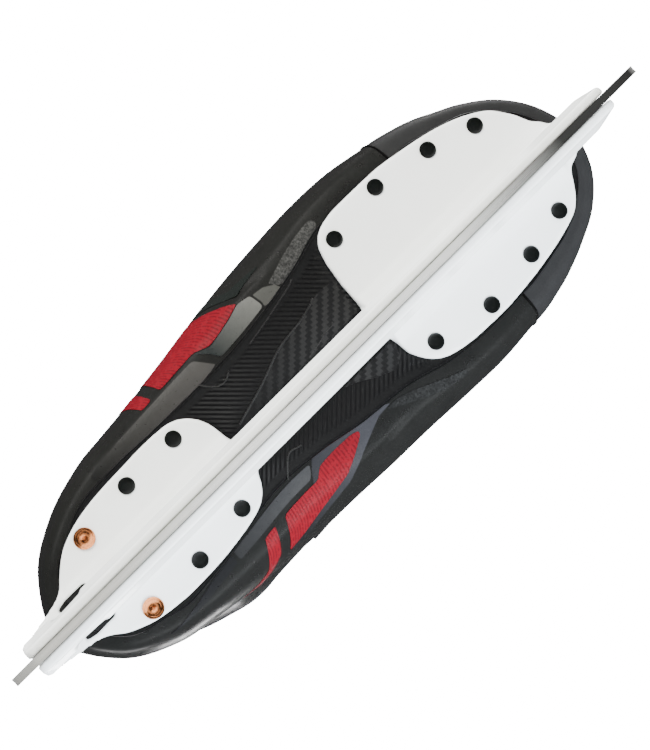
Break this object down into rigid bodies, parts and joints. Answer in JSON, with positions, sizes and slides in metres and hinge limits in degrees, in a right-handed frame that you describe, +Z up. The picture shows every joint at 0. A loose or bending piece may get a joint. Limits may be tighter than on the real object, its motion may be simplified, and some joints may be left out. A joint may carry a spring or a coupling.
{
  "type": "hockey skate",
  "caption": "Ice hockey skate for the right foot: steel runner in a white blade holder riveted to a black lace-up boot with toe cap, tongue and tendon guard.",
  "frame": {"origin": "middle of the flat of the runner's ice contact face", "axes": "+X to the toe along the runner, +Y to the inner (medial) side of the right foot, +Z up to the collar"},
  "size_m": [0.3072, 0.1106, 0.266],
  "materials": {
    "steel": "satin",
    "white_plastic": "gloss",
    "charcoal_plastic": "matte",
    "sole_composite": "satin",
    "gray_board": "matte",
    "foam": "matte",
    "quarter_black": "gloss",
    "facing": "satin",
    "lining": "matte",
    "felt": "matte",
    "lacing": "matte",
    "black_metal": "satin",
    "copper": "satin"
  },
  "bodies": {
    "boot": {"blade_holder": "white_plastic", "trigger_pin": "steel", "latch_spring": "steel", "rivet_front_1": "black_metal", "rivet_front_2": "black_metal", "rivet_front_3": "black_metal", "rivet_front_4": "black_metal", "rivet_front_5": "black_metal", "rivet_front_6": "black_metal", "rivet_front_7": "black_metal", "rivet_front_8": "black_metal", "rivet_rear_1": "black_metal", "rivet_rear_2": "black_metal", "rivet_rear_3": "black_metal", "rivet_rear_4": "black_metal", "rivet_copper_1": "copper", "rivet_copper_2": "copper", "outsole": "sole_composite", "insole_board": "gray_board", "footbed": "foam", "quarter_lateral": "quarter_black", "quarter_medial": "quarter_black", "toe_cap": "charcoal_plastic", "eyestay_lateral": "facing", "eyestay_medial": "facing", "liner": "lining", "collar_padding": "lining", "tendon_guard_base": "quarter_black", "tongue_lower": "felt", "tongue_plate": "charcoal_plastic", "lace": "lacing", "eyelet_lateral_1": "black_metal", "eyelet_lateral_2": "black_metal", "eyelet_lateral_3": "black_metal", "eyelet_lateral_4": "black_metal", "eyelet_lateral_5": "black_metal", "eyelet_lateral_6": "black_metal", "eyelet_lateral_7": "black_metal", "eyelet_lateral_8": "black_metal", "eyelet_lateral_9": "black_metal", "eyelet_lateral_10": "black_metal", "eyelet_lateral_11": "black_metal", "eyelet_medial_1": "black_metal", "eyelet_medial_2": "black_metal", "eyelet_medial_3": "black_metal", "eyelet_medial_4": "black_metal", "eyelet_medial_5": "black_metal", "eyelet_medial_6": "black_metal", "eyelet_medial_7": "black_metal", "eyelet_medial_8": "black_metal", "eyelet_medial_9": "black_metal", "eyelet_medial_10": "black_metal", "eyelet_medial_11": "black_metal"},
    "steel": {"runner": "steel"},
    "trigger": {"trigger": "charcoal_plastic"},
    "tendon_guard": {"tendon_guard": "quarter_black", "tendon_pad": "foam"},
    "tongue_top": {"tongue_upper": "felt"}
  },
  "joints": [
    {"name": "runner_drop", "type": "hinge", "parent": "boot", "child": "steel", "pos_m": [0.11, 0, 0.028], "axis": [0, -1, 0], "range_deg": [0, 8]},
    {"name": "trigger_pull", "type": "hinge", "parent": "boot", "child": "trigger", "pos_m": [-0.062, 0, 0.044], "axis": [0, 1, 0], "range_deg": [0, 14], "stiffness_Nm_per_rad": 0.12, "springref_deg": -8.59, "deforming": ["latch_spring"]},
    {"name": "tendon_flex", "type": "hinge", "parent": "boot", "child": "tendon_guard", "pos_m": [-0.1365, 0, 0.198], "axis": [0, -1, 0], "range_deg": [0, 20], "stiffness_Nm_per_rad": 1.5},
    {"name": "tongue_fold", "type": "hinge", "parent": "boot", "child": "tongue_top", "pos_m": [-0.0345, 0, 0.2195], "axis": [0, 1, 0], "range_deg": [0, 55], "stiffness_Nm_per_rad": 0.6}
  ]
}
